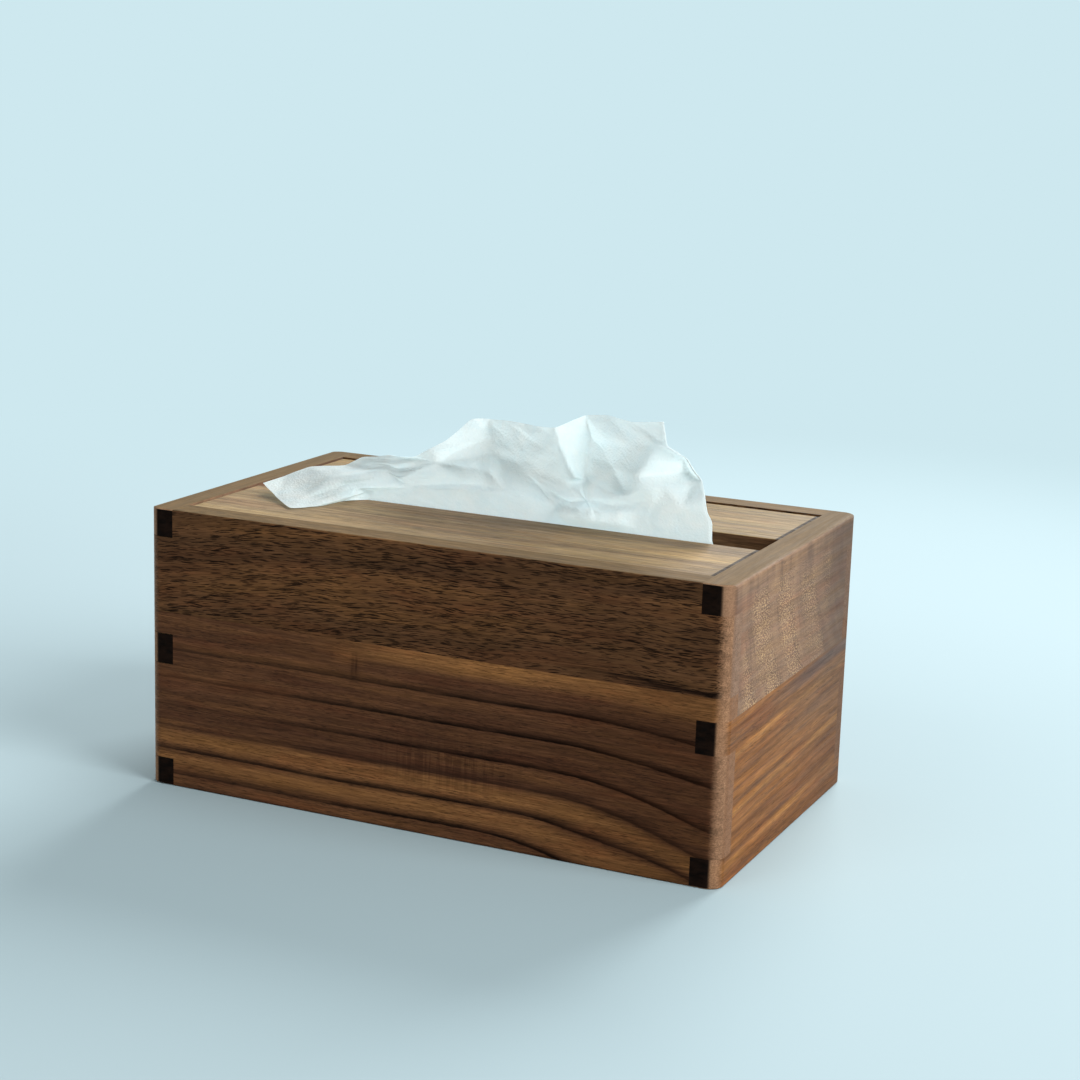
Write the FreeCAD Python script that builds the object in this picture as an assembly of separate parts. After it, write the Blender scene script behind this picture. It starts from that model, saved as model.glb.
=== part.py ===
import FreeCAD, Part
import os

# Walnut tissue box whose left end is the front of a drawer.
# Millimetres. The origin is at the middle of the footprint, on the surface the box stands on.
# +X runs along the length to the fixed end, +Y to the rear wall, +Z up.
# The drawer slides out along -X and carries the tissues with it.

# ---- driving dimensions: the case ----
box_length = 216.0
box_width = 128.0
box_height = 100.0
wall_thickness = 10.0
corner_radius = 5.0        # vertical outer corners
end_edge_round = 1.5       # top edges of the two ends
edge_round = 0.5           # all other outer edges

# ---- driving dimensions: the corner joint, three pins of the ends in two tails of the long walls ----
top_pin_height = 10.0
middle_pin_height = 11.0
bottom_pin_height = 10.0
long_wall_seam = 63.3      # height of the glue line in the front and rear walls

# ---- driving dimensions: the top ----
top_board_thickness = 8.0
top_recess = 0.5           # the top boards lie this far below the rim
slot_width = 18.5
top_right_gap = 0.3
top_left_gap = 0.5
top_rear_gap = 0.8
top_edge_round = 0.4
cleat_width = 8.0
cleat_height = 8.0
cleat_slot_gap = 2.0       # the cleats on the fixed end stop this far short of the slot

# ---- driving dimensions: the bottom ----
bottom_rise = 3.0          # from the floor to the underside of the panel
bottom_thickness = 5.0
groove_depth = 5.0
groove_end_clearance = 0.2

# ---- driving dimensions: the drawer ----
joint_clearance = 0.2      # between the drawer front and the walls it closes on
floor_gap = 0.3            # the drawer front hangs this far above the floor
running_clearance = 0.2    # under and beside the tray
tray_side_thickness = 7.0
tray_side_height = 45.0
tray_side_gap = 0.5        # each tray side to its wall
tray_back_thickness = 7.0
tray_back_gap = 0.5        # tray back to the fixed end
tray_bottom_thickness = 4.0
tray_bottom_rise = 3.0
tray_groove_depth = 3.0
tray_rabbet_depth = 3.5
finger_hole_radius = 11.0
finger_hole_drop = 22.0    # from the top edge to the middle of the hole
finger_hole_round = 1.0
dowel_radius = 2.0
dowel_length = 18.0
dowel_depth_in_front = 7.0
dowel_inset = 9.0          # from the lower and upper edges of a tray side
dowel_clearance = 0.05

# ---- driving dimensions: the magnet catch ----
magnet_radius = 4.0
magnet_thickness = 3.0
magnet_height = 35.0
magnet_spacing = 50.0
magnet_clearance = 0.05

# ---- driving dimensions: the tissues ----
stack_height = 58.0
stack_side_gap = 1.0
stack_end_gap = 3.0
stack_round = 3.0
tissue_thickness = 0.8
tissue_lift = 0.2          # lower edge of the popped tissue above the stack
tissue_width = 134.0       # along the slot
tissue_rise = 38.0         # its highest point above the top boards
tissue_end_gap = 21.0      # from its right edge to the fixed end
tissue_fold_depth = 6.0    # how far its folds stand off the middle of the slot
tissue_flop_reach = 41.0   # how far its left corner lies in front of the middle of the slot
tissue_flop_gap = 0.5      # under that corner

# ---- derived places ----
half_length = box_length / 2
half_width = box_width / 2
inner_x = half_length - wall_thickness
inner_y = half_width - wall_thickness
middle_pin_low = (box_height - middle_pin_height) / 2
middle_pin_high = middle_pin_low + middle_pin_height
top_pin_low = box_height - top_pin_height
end_seam = middle_pin_high  # the ends are glued up along the top of the middle pin
top_face = box_height - top_recess
top_underside = top_face - top_board_thickness
bottom_top = bottom_rise + bottom_thickness
tray_low = bottom_top + running_clearance
tray_high = tray_low + tray_side_height
tray_outer_y = inner_y - tray_side_gap
tray_inner_y = tray_outer_y - tray_side_thickness
tray_end_x = inner_x - tray_back_gap
tray_back_x = tray_end_x - tray_back_thickness
tray_floor = tray_low + tray_bottom_rise + tray_bottom_thickness
stack_top = tray_floor + stack_height
tissue_low = stack_top + tissue_lift

pin_spans = [
    (0.0, bottom_pin_height),
    (middle_pin_low, middle_pin_high),
    (top_pin_low, box_height),
]
tail_spans = [
    (bottom_pin_height, middle_pin_low),
    (middle_pin_high, top_pin_low),
]


def vec(x, y, z):
    return FreeCAD.Vector(x, y, z)


def block(x_span, y_span, z_span):
    """Box between two values on each axis."""
    size = [high - low for low, high in (x_span, y_span, z_span)]
    return Part.makeBox(*size, vec(x_span[0], y_span[0], z_span[0]))


def joined(shapes):
    return shapes[0].multiFuse(shapes[1:]).removeSplitter()


def edges_where(shape, test):
    """Edges for which test holds at the middle of the edge's box."""
    return [edge for edge in shape.Edges if test(edge.BoundBox)]


def flat_at(low, high, value):
    return abs(low - value) < 1e-6 and abs(high - value) < 1e-6


def case_envelope():
    """Outer shape of the closed box: upright corners and top and bottom edges rounded."""
    body = block((-half_length, half_length), (-half_width, half_width), (0.0, box_height))
    upright = edges_where(body, lambda box: box.ZLength > box_height / 2)
    body = body.makeFillet(corner_radius, upright)
    rims = edges_where(
        body, lambda box: flat_at(box.ZMin, box.ZMax, 0.0) or flat_at(box.ZMin, box.ZMax, box_height))
    body = body.makeFillet(edge_round, rims)
    loaf = block((-half_length, half_length), (-box_width, box_width), (-box_height, box_height))
    ends = edges_where(
        loaf, lambda box: flat_at(box.ZMin, box.ZMax, box_height) and box.YLength > box_width)
    return body.common(loaf.makeFillet(end_edge_round, ends))


def above(shape, height):
    return shape.common(block((-box_length, box_length), (-box_width, box_width), (height, 2 * box_height)))


def below(shape, height):
    return shape.common(block((-box_length, box_length), (-box_width, box_width), (-box_height, height)))


def long_wall():
    """Front wall before it is cut to the envelope: a plank with two tails at each end."""
    y_span = (-half_width, -inner_y)
    pieces = [block((-inner_x, inner_x), y_span, (0.0, box_height))]
    for z_span in tail_spans:
        pieces.append(block((-half_length, half_length), y_span, z_span))
    return joined(pieces)


def fixed_end():
    """Right end before it is cut to the envelope: a panel with three pins at each side."""
    x_span = (inner_x, half_length)
    pieces = [block(x_span, (-inner_y, inner_y), (0.0, box_height))]
    for z_span in pin_spans:
        pieces.append(block(x_span, (-half_width, half_width), z_span))
    return joined(pieces)


def drawer_end():
    """Drawer front: as the fixed end, with running clearance at its sides, pins and foot."""
    x_span = (-half_length, -inner_x)
    side = inner_y - joint_clearance
    pieces = [block(x_span, (-side, side), (floor_gap, box_height))]
    for low, high in pin_spans:
        z_low = floor_gap if low == 0.0 else low + joint_clearance
        z_high = box_height if high == box_height else high - joint_clearance
        pieces.append(block(x_span, (-half_width, half_width), (z_low, z_high)))
    return joined(pieces)


def bottom_groove():
    reach = inner_y + groove_depth
    return block((-inner_x, inner_x + groove_depth), (-reach, reach), (bottom_rise, bottom_top))


def disc(x_low, x_high, y, z, radius):
    return Part.makeCylinder(radius, x_high - x_low, vec(x_low, y, z), vec(1, 0, 0))


def magnet_places():
    return [-magnet_spacing / 2, magnet_spacing / 2]


def dowel_places():
    """Middle of each dowel across the box: two in each tray side."""
    y = (tray_outer_y + tray_inner_y) / 2
    heights = (tray_low + dowel_inset, tray_high - dowel_inset)
    return [(side * y, z) for side in (-1, 1) for z in heights]


def top_board(y_low, y_high):
    board = block(
        (-inner_x + top_left_gap, inner_x - top_right_gap), (y_low, y_high), (top_underside, top_face))
    rim = edges_where(board, lambda box: flat_at(box.ZMin, box.ZMax, top_face))
    return board.makeFillet(top_edge_round, rim)


def thick_sheet(ribs, thickness):
    """Closed solid of flat triangles behind a net of points.

    ribs is a list from left to right of (direction to the back, points from low to high).
    None marks a place where the sheet has no paper.
    """
    front = [points for back, points in ribs]
    rear = [[point and point.add(back * thickness) for point in points] for back, points in ribs]
    rows = len(front[0])
    faces = []

    def quad(a, b, c, d):
        for corners in ([a, b, c, a], [a, c, d, a]):
            faces.append(Part.Face(Part.makePolygon(corners)))

    def has_cell(i, j):
        if i < 0 or j < 0 or i + 1 >= len(front) or j + 1 >= rows:
            return False
        return None not in (front[i][j], front[i + 1][j], front[i][j + 1], front[i + 1][j + 1])

    for i in range(len(front) - 1):
        for j in range(rows - 1):
            if not has_cell(i, j):
                continue
            corners = [(i, j), (i + 1, j), (i + 1, j + 1), (i, j + 1)]
            quad(*[front[m][n] for m, n in corners])
            quad(*[rear[m][n] for m, n in reversed(corners)])
            beside = [(i, j - 1), (i + 1, j), (i, j + 1), (i - 1, j)]
            for k in range(4):
                if has_cell(*beside[k]):
                    continue
                (m0, n0), (m1, n1) = corners[k], corners[(k + 1) % 4]
                quad(front[m1][n1], front[m0][n0], rear[m0][n0], rear[m1][n1])
    shell = Part.Shell(faces)
    shell.sewShape()
    return Part.Solid(shell)


def neck_point(share, height):
    """Place in or below the slot: share runs from 0 at the neck's left edge to 1 at its right."""
    return vec(inner_x - tissue_end_gap - (1 - share) * tissue_width, 0, height)


def free_point(share, folds, rise):
    """Place above the slot, by shares of the tissue's width, fold depth and rise."""
    foot = neck_point(share, top_face + rise * tissue_rise)
    return foot.add(vec(0, folds * tissue_fold_depth, 0))


def flop_point(share, reach, rise):
    """Place on the corner that lies forward, by shares of the width, the reach and the rise."""
    rest = top_face + tissue_flop_gap + tissue_thickness
    foot = neck_point(share, rest + rise * tissue_rise)
    return foot.add(vec(0, -reach * tissue_flop_reach, 0))


def neck_rib(share, *free_places):
    """Rib from the stack up through the slot, and on through the free places."""
    neck = [neck_point(share, tissue_low), neck_point(share, top_underside)]
    return vec(0, 1, 0), neck + [free_point(*place) for place in free_places]


def flop_rib(back, *places):
    """Rib of the corner that lies forward: it has no neck, and its back faces down."""
    return back, [None, None] + [flop_point(*place) for place in places]


parts = {}
envelope = case_envelope()

# ---- case ----
front_wall = long_wall().common(envelope).cut(bottom_groove())
rear_wall = front_wall.mirror(vec(0, 0, 0), vec(0, 1, 0))
parts["front_wall_upper_board"] = above(front_wall, long_wall_seam)
parts["front_wall_lower_board"] = below(front_wall, long_wall_seam)
parts["rear_wall_upper_board"] = above(rear_wall, long_wall_seam)
parts["rear_wall_lower_board"] = below(rear_wall, long_wall_seam)

right_end = fixed_end().common(envelope).cut(bottom_groove())
for y in magnet_places():
    pocket = disc(
        inner_x - 1, inner_x + magnet_thickness, y, magnet_height, magnet_radius + magnet_clearance)
    right_end = right_end.cut(pocket)
parts["right_end_upper_board"] = above(right_end, end_seam)
parts["right_end_lower_board"] = below(right_end, end_seam)

panel_y = inner_y + groove_depth - groove_end_clearance
parts["bottom_panel"] = block(
    (-inner_x + joint_clearance, inner_x + groove_depth - groove_end_clearance),
    (-panel_y, panel_y), (bottom_rise, bottom_top))

parts["top_front_board"] = top_board(-inner_y, -slot_width / 2)
parts["top_rear_board"] = top_board(slot_width / 2, inner_y - top_rear_gap)

cleat_z = (top_underside - cleat_height, top_underside)
cleat_x = (-inner_x + top_left_gap, inner_x)
cleat_inner_y = inner_y - cleat_width
parts["front_top_cleat"] = block(cleat_x, (-inner_y, -cleat_inner_y), cleat_z)
parts["rear_top_cleat"] = block(cleat_x, (cleat_inner_y, inner_y), cleat_z)
end_cleat_x = (inner_x - cleat_width, inner_x)
end_cleat_y = (-cleat_inner_y, -slot_width / 2 - cleat_slot_gap)
parts["right_front_cleat"] = block(end_cleat_x, end_cleat_y, cleat_z)
parts["right_rear_cleat"] = parts["right_front_cleat"].mirror(vec(0, 0, 0), vec(0, 1, 0))

parts["carcase_magnets"] = Part.makeCompound(
    [disc(inner_x, inner_x + magnet_thickness, y, magnet_height, magnet_radius) for y in magnet_places()])

# ---- drawer ----
drawer_front = drawer_end().common(envelope)
hole_z = box_height - finger_hole_drop
drawer_front = drawer_front.cut(
    disc(-half_length - 1, -inner_x + 1, 0, hole_z, finger_hole_radius))
for y, z in dowel_places():
    socket = disc(
        -inner_x - dowel_depth_in_front, -inner_x + 1, y, z, dowel_radius + dowel_clearance)
    drawer_front = drawer_front.cut(socket)
hole_rims = [
    edge for edge in drawer_front.Edges
    if edge.Curve.TypeId == "Part::GeomCircle" and abs(edge.Curve.Radius - finger_hole_radius) < 1e-6]
drawer_front = drawer_front.makeFillet(finger_hole_round, hole_rims)
parts["drawer_front_upper_board"] = above(drawer_front, end_seam)
parts["drawer_front_lower_board"] = below(drawer_front, end_seam)

tray_groove_y = tray_inner_y + tray_groove_depth
tray_bottom_z = (tray_low + tray_bottom_rise, tray_floor)
tray_groove = block((-inner_x, tray_end_x - tray_back_thickness + tray_groove_depth),
                    (-tray_groove_y, tray_groove_y), tray_bottom_z)
back_y = tray_inner_y + tray_rabbet_depth
tray_rabbet = block((tray_back_x, tray_end_x), (-back_y, back_y), (tray_low, tray_high))
tray_side = block((-inner_x, tray_end_x), (-tray_outer_y, -tray_inner_y), (tray_low, tray_high))
tray_side = tray_side.cut(tray_groove).cut(tray_rabbet)
for y, z in dowel_places():
    socket_end = -inner_x - dowel_depth_in_front + dowel_length
    tray_side = tray_side.cut(
        disc(-inner_x - 1, socket_end, y, z, dowel_radius + dowel_clearance))
parts["tray_front_side"] = tray_side
parts["tray_rear_side"] = tray_side.mirror(vec(0, 0, 0), vec(0, 1, 0))
parts["tray_bottom"] = tray_groove

tray_back = tray_rabbet.cut(tray_groove)
for y in magnet_places():
    pocket = disc(tray_end_x - magnet_thickness, tray_end_x + 1, y, magnet_height,
                  magnet_radius + magnet_clearance)
    tray_back = tray_back.cut(pocket)
parts["tray_back"] = tray_back

parts["tray_dowels"] = Part.makeCompound(
    [disc(-inner_x - dowel_depth_in_front, -inner_x - dowel_depth_in_front + dowel_length, y, z,
          dowel_radius) for y, z in dowel_places()])
parts["drawer_magnets"] = Part.makeCompound(
    [disc(tray_end_x - magnet_thickness, tray_end_x, y, magnet_height, magnet_radius)
     for y in magnet_places()])

# ---- tissues ----
stack_y = tray_inner_y - stack_side_gap
stack = block((-inner_x + stack_end_gap, tray_back_x - stack_end_gap), (-stack_y, stack_y),
              (tray_floor, stack_top))
stack_folds = edges_where(stack, lambda box: box.XLength > box_length / 2)
parts["tissue_stack"] = stack.makeFillet(stack_round, stack_folds)

# The popped tissue stands in the slot and its left corner flops forward on the front board.
tissue_ribs = [
    flop_rib(vec(0, 0, -1), (-0.05, 1.0, 0.0), (-0.14, 0.78, 0.03), (-0.225, 0.55, 0.07)),
    flop_rib(vec(0, 0, -1), (-0.015, 0.80, 0.0), (-0.10, 0.61, 0.09), (-0.175, 0.43, 0.145)),
    flop_rib(vec(0, 0.5, -0.8), (0.015, 0.54, 0.01), (-0.045, 0.34, 0.16), (-0.11, 0.20, 0.225)),
    neck_rib(0.0, (0.005, -0.7, 0.05), (0.0, -0.8, 0.21), (-0.01, -0.3, 0.355)),
    neck_rib(0.19, (0.19, 0.2, 0.05), (0.17, 0.3, 0.26), (0.155, 0.2, 0.42)),
    neck_rib(0.34, (0.34, 0.0, 0.05), (0.33, -0.5, 0.47), (0.32, -0.7, 0.84)),
    neck_rib(0.49, (0.49, 0.2, 0.05), (0.49, 0.7, 0.47), (0.51, 1.0, 0.82)),
    neck_rib(0.60, (0.60, -0.2, 0.05), (0.61, -0.7, 0.53), (0.64, -0.8, 1.0)),
    neck_rib(0.74, (0.74, 0.2, 0.05), (0.75, 0.7, 0.53), (0.77, 1.0, 0.96)),
    neck_rib(0.87, (0.87, -0.2, 0.05), (0.87, -0.5, 0.47), (0.86, -0.2, 0.985)),
    neck_rib(1.0, (1.0, 0.0, 0.05), (0.98, 0.0, 0.32), (0.925, 0.2, 0.66)),
]
parts["top_tissue"] = thick_sheet(tissue_ribs, tissue_thickness)

os.makedirs("parts", exist_ok=True)
for name, shape in parts.items():
    shape.exportStep("parts/" + name + ".step")
    box = shape.BoundBox
    print(name, len(shape.Solids), shape.isValid(), round(shape.Volume, 1),
          [round(v, 2) for v in (box.XMin, box.XMax, box.YMin, box.YMax, box.ZMin, box.ZMax)])
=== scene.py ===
"""Walnut tissue box with a drawer: finishes, tissues, floor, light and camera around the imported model."""
import math

import bpy
import numpy as np
from mathutils import Matrix, Vector, geometry


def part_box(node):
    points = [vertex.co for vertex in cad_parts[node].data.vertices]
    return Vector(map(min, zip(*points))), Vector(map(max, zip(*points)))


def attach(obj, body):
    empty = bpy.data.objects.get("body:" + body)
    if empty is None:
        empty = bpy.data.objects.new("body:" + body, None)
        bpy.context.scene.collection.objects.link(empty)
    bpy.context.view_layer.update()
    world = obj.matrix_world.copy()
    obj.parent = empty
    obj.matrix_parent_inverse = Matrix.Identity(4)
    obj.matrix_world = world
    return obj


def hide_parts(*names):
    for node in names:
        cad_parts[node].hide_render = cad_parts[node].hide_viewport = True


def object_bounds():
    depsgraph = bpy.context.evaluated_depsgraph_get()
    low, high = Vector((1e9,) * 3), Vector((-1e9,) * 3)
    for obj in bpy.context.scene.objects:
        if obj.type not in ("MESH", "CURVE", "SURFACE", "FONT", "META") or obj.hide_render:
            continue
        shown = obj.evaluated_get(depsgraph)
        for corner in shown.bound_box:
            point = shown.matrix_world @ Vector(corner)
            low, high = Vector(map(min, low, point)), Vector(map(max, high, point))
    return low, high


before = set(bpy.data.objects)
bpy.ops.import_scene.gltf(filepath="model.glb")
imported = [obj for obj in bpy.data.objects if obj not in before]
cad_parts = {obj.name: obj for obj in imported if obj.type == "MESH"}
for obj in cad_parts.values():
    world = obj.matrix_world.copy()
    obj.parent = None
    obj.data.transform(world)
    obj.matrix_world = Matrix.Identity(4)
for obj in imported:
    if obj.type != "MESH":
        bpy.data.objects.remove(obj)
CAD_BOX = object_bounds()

MM = 0.001


# ---------------------------------------------------------------- camera

CAMERA_PLACE = (0.3382, -0.7096, 0.2673)
CAMERA_YAW = 0.4302
CAMERA_PITCH = 0.2224
CAMERA_ROLL = 0.0315
CAMERA_LENS = 75.97
CAMERA_SENSOR = 36.0
PHOTO_SIDE = 1080


def camera_stand():
    """The camera stands to the right of the front and looks a little down on the box."""
    level = Matrix.Rotation(CAMERA_YAW, 4, "Z") @ Matrix.Rotation(math.pi / 2 - CAMERA_PITCH, 4, "X")
    return Matrix.Translation(CAMERA_PLACE) @ level @ Matrix.Rotation(CAMERA_ROLL, 4, "Z")


def seen_at(across, down, back):
    """The point, in millimetres, at depth y = back that the camera shows at a pixel of the square photo."""
    stand = camera_stand()
    focal = CAMERA_LENS / CAMERA_SENSOR * PHOTO_SIDE
    middle = PHOTO_SIDE / 2
    ray = stand.to_3x3() @ Vector(((across - middle) / focal, (middle - down) / focal, -1.0))
    start = stand.translation / MM
    return tuple(start + ray * ((back - start.y) / ray.y))


def add_camera():
    """Put the camera on its stand."""
    data = bpy.data.cameras.new("camera")
    data.lens = CAMERA_LENS
    data.sensor_width = CAMERA_SENSOR
    camera = bpy.data.objects.new("camera", data)
    bpy.context.scene.collection.objects.link(camera)
    camera.matrix_world = camera_stand()
    bpy.context.scene.camera = camera


# ---------------------------------------------------------------- node building

def rgb(red, green, blue):
    """A colour given as 0 to 255 on screen, as the linear values that nodes hold."""
    def linear(value):
        share = value / 255
        return share / 12.92 if share <= 0.04045 else ((share + 0.055) / 1.055) ** 2.4
    return (linear(red), linear(green), linear(blue), 1.0)


class Finish:
    """One procedural material, put together node by node. Every call gives back an output socket."""

    def __init__(self, name, **settings):
        self.material = bpy.data.materials.new(name)
        self.material.use_nodes = True
        self.tree = self.material.node_tree
        self.shader = self.tree.nodes["Principled BSDF"]
        self.output = self.tree.nodes["Material Output"]
        for socket, value in settings.items():
            self.shader.inputs[socket.replace("_", " ")].default_value = value

    def node(self, kind, **settings):
        made = self.tree.nodes.new(kind)
        for name, value in settings.items():
            setattr(made, name, value)
        return made

    def put(self, socket, value):
        if isinstance(value, bpy.types.NodeSocket):
            self.tree.links.new(value, socket)
        else:
            socket.default_value = value

    def math(self, operation, first, second=0.0, third=0.0, clamp=False):
        made = self.node("ShaderNodeMath", operation=operation, use_clamp=clamp)
        for socket, value in zip(made.inputs, (first, second, third)):
            self.put(socket, value)
        return made.outputs[0]

    def level(self, value, low, high, to_low=0.0, to_high=1.0):
        """value from low to high, turned smoothly into to_low to to_high and held there beyond."""
        made = self.node("ShaderNodeMapRange", interpolation_type="SMOOTHSTEP")
        for name, number in (("Value", value), ("From Min", low), ("From Max", high),
                             ("To Min", to_low), ("To Max", to_high)):
            self.put(made.inputs[name], number)
        return made.outputs[0]

    def level_line(self, value, low, high):
        """value from low to high, turned straight into 0 to 1 and held there beyond."""
        made = self.node("ShaderNodeMapRange")
        for name, number in (("Value", value), ("From Min", low), ("From Max", high)):
            self.put(made.inputs[name], number)
        return made.outputs[0]

    def mix(self, share, first, second, blend="MIX"):
        made = self.node("ShaderNodeMix", data_type="RGBA", blend_type=blend, clamp_factor=True)
        self.put(made.inputs[0], share)
        self.put(made.inputs[6], first)
        self.put(made.inputs[7], second)
        return made.outputs[2]

    def ramp(self, value, stops):
        """A colour ramp with a stop (place from 0 to 1, colour) for each pair in stops."""
        made = self.node("ShaderNodeValToRGB")
        elements = made.color_ramp.elements
        while len(elements) < len(stops):
            elements.new(1.0)
        for element, (place, colour) in zip(elements, stops):
            element.position = place
            element.color = colour
        self.put(made.inputs[0], value)
        return made.outputs[0]

    def split(self, vector):
        made = self.node("ShaderNodeSeparateXYZ")
        self.put(made.inputs[0], vector)
        return made.outputs

    def join(self, x, y, z):
        made = self.node("ShaderNodeCombineXYZ")
        for socket, value in zip(made.inputs, (x, y, z)):
            self.put(socket, value)
        return made.outputs[0]

    def scaled(self, vector, factors, shift=(0.0, 0.0, 0.0)):
        made = self.node("ShaderNodeVectorMath", operation="MULTIPLY_ADD")
        self.put(made.inputs[0], vector)
        self.put(made.inputs[1], factors)
        self.put(made.inputs[2], shift)
        return made.outputs[0]

    def noise(self, vector, scale=1.0, detail=2.0, rough=0.5):
        made = self.node("ShaderNodeTexNoise")
        for name, value in (("Vector", vector), ("Scale", scale), ("Detail", detail), ("Roughness", rough)):
            self.put(made.inputs[name], value)
        return made.outputs[0]

    def cells(self, vector):
        made = self.node("ShaderNodeTexVoronoi", feature="F1")
        self.put(made.inputs["Vector"], vector)
        self.put(made.inputs["Scale"], 1.0)
        return made.outputs["Distance"]

    def place(self):
        return self.node("ShaderNodeTexCoord").outputs["Object"]

    def facing(self):
        return self.node("ShaderNodeTexCoord").outputs["Normal"]

    def bump(self, height, distance):
        made = self.node("ShaderNodeBump")
        made.inputs["Strength"].default_value = 1.0
        made.inputs["Distance"].default_value = distance
        self.put(made.inputs["Height"], height)
        return made.outputs[0]

    def colour(self, socket):
        self.put(self.shader.inputs["Base Color"], socket)

    def rough(self, socket):
        self.put(self.shader.inputs["Roughness"], socket)

    def normal(self, socket):
        self.put(self.shader.inputs["Normal"], socket)


# ---------------------------------------------------------------- walnut

AXES = "XYZ"
CASE_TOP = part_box("front_wall_upper_board")[1][2] / MM
CASE_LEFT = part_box("front_wall_upper_board")[0][0] / MM
CASE_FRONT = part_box("front_wall_upper_board")[0][1] / MM
TOP_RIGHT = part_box("top_front_board")[1][0] / MM
SEED_SHIFT = 37.0


def grain_point(fin, along, across, seed):
    """The place on a board in millimetres: along the grain, across the face and into the board."""
    parts = fin.split(fin.scaled(fin.place(), (1 / MM,) * 3))
    deep = next(axis for axis in AXES if axis not in (along, across))
    ordered = [parts[AXES.index(axis)] for axis in (along, across, deep)]
    return fin.scaled(fin.join(*ordered), (1.0, 1.0, 1.0), (0.0, 0.0, SEED_SHIFT * seed))


def bent(fin, point, seed, rise, tilt):
    """The same place with the grain lines wandering by about rise, and climbing tilt over the left part."""
    along, across, deep = fin.split(point)[:]
    wander = fin.noise(fin.scaled(point, (0.012, 0.025, 0.02), (seed, 0.0, 0.0)), detail=3.0, rough=0.45)
    shift = fin.math("MULTIPLY_ADD", wander, 2 * rise, -rise)
    if tilt:
        left = fin.math("SUBTRACT", 1.0, fin.level_line(along, CASE_LEFT, TILT_END))
        climb = fin.math("MULTIPLY", fin.math("MULTIPLY", left, left), tilt)
        shift = fin.math("ADD", shift, climb)
    return fin.join(along, fin.math("ADD", across, shift), deep)


TILT_END = 70.0
# Streaks to the millimetre across and along the grain, and how strongly they show.
FIBRES = ((2.6, 0.14, 1.3), (1.4, 0.05, 1.0), (0.4, 0.008, 0.8))


def fibres(fin, line, colour, depth):
    """Fine straight streaks in three widths, lighter and darker by depth."""
    for across, along, share in FIBRES:
        streak = fin.noise(fin.scaled(line, (along, across, across)), detail=2.0, rough=0.6)
        tone = fin.level(streak, 0.28, 0.72, 1 - depth * share, 1 + depth * share)
        colour = fin.mix(1.0, colour, fin.join(tone, tone, tone), "MULTIPLY")
    return colour


def warmth(fin, line, colour):
    """Clouds of redder and of more golden brown, drawn out along the grain."""
    cloud = fin.noise(fin.scaled(line, (0.025, 0.14, 0.10), (9.0, 0.0, 0.0)), detail=3.0, rough=0.6)
    tint = fin.ramp(cloud, ((0.34, (1.02, 0.92, 0.90, 1.0)), (0.50, (1.0, 1.0, 1.0, 1.0)),
                            (0.66, (1.10, 1.09, 1.00, 1.0))))
    return fin.mix(1.0, colour, tint, "MULTIPLY")


def pore_marks(fin, line, length, width, cover, seed):
    """1 in the open pores, which are short dark dashes along the grain, and 0 between them."""
    along, across, deep = fin.split(line)[:]
    sway = fin.noise(fin.scaled(line, (0.10, 0.28, 0.28), (seed, 0.0, 0.0)), detail=1.0)
    swayed = fin.join(along, fin.math("MULTIPLY_ADD", sway, 1.8, across), deep)
    away = fin.cells(fin.scaled(swayed, (1 / length, 1 / width, 1 / width), (seed, 0.0, 0.0)))
    patch = fin.noise(fin.scaled(line, (0.018, 0.11, 0.08), (seed, 3.0, 0.0)), detail=3.0, rough=0.6)
    reach = fin.level(patch, 0.36, 0.64, cover, cover + 0.16)
    return fin.math("MULTIPLY", fin.math("SUBTRACT", reach, away), 12.0, clamp=True)


def all_pores(fin, line, pores, seed):
    """Every layer of pores in one, each as dark as its strength."""
    marks = 0.0
    for length, width, cover, strength in pores:
        layer = pore_marks(fin, line, length, width, cover, seed + length)
        marks = fin.math("MAXIMUM", marks, fin.math("MULTIPLY", layer, strength))
    return marks


def end_grain_share(fin, along):
    """1 where the board's end shows, 0 on its faces, edges and rounds."""
    facing = fin.split(fin.facing())[AXES.index(along)]
    return fin.level(fin.math("ABSOLUTE", facing), 0.90, 0.98)


def end_grain(fin, point, tone):
    """Cut ends with growth rings and open pores seen end on, with painted shade that darkens them on the rear
    wall.
    """
    rings = fin.noise(fin.scaled(point, (0.01, 0.55, 0.22)), detail=3.0, rough=0.6)
    pits = fin.noise(fin.scaled(point, (0.2, 3.2, 3.2)), detail=2.0, rough=0.7)
    base = fin.ramp(rings, ((0.35, tone[0]), (0.62, tone[1])))
    dark = fin.level(pits, 0.55, 0.66, 0.0, 0.65)
    # Painted shade: the rear wall's cut ends are darkened.
    rear = fin.level(fin.split(fin.place())[1], REAR_SHADE_FROM, REAR_SHADE_FULL, 0.0, 0.45)
    return fin.mix(dark, fin.mix(rear, base, REAR_END_SHADE), PIT_BROWN)


def round_highlight_share(fin, along):
    """How far a rounded corner has turned towards the board's end, where it is painted paler as a highlight.
    """
    facing = fin.split(fin.facing())[AXES.index(along)]
    return fin.level(fin.math("ABSOLUTE", facing), 0.08, 0.75, 0.0, 0.75)


def facing_share(fin, axis):
    """1 on surfaces square to an axis, such as the top edges of the walls, with their wear, and the top
    boards' edges along the slot, with their painted shade.
    """
    facing = fin.split(fin.facing())[AXES.index(axis)]
    return fin.level(fin.math("ABSOLUTE", facing), 0.55, 0.95)


DARK_LEVEL = 0.032
REAR_SHADE_FROM = 40 * MM
REAR_SHADE_FULL = 50 * MM
REAR_END_SHADE = rgb(74, 58, 50)
PORE_BROWN = rgb(20, 10, 6)
PIT_BROWN = rgb(24, 17, 14)
ROUND_HIGHLIGHT = rgb(172, 134, 104)
GRAIN_RELIEF = 0.00006
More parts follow.
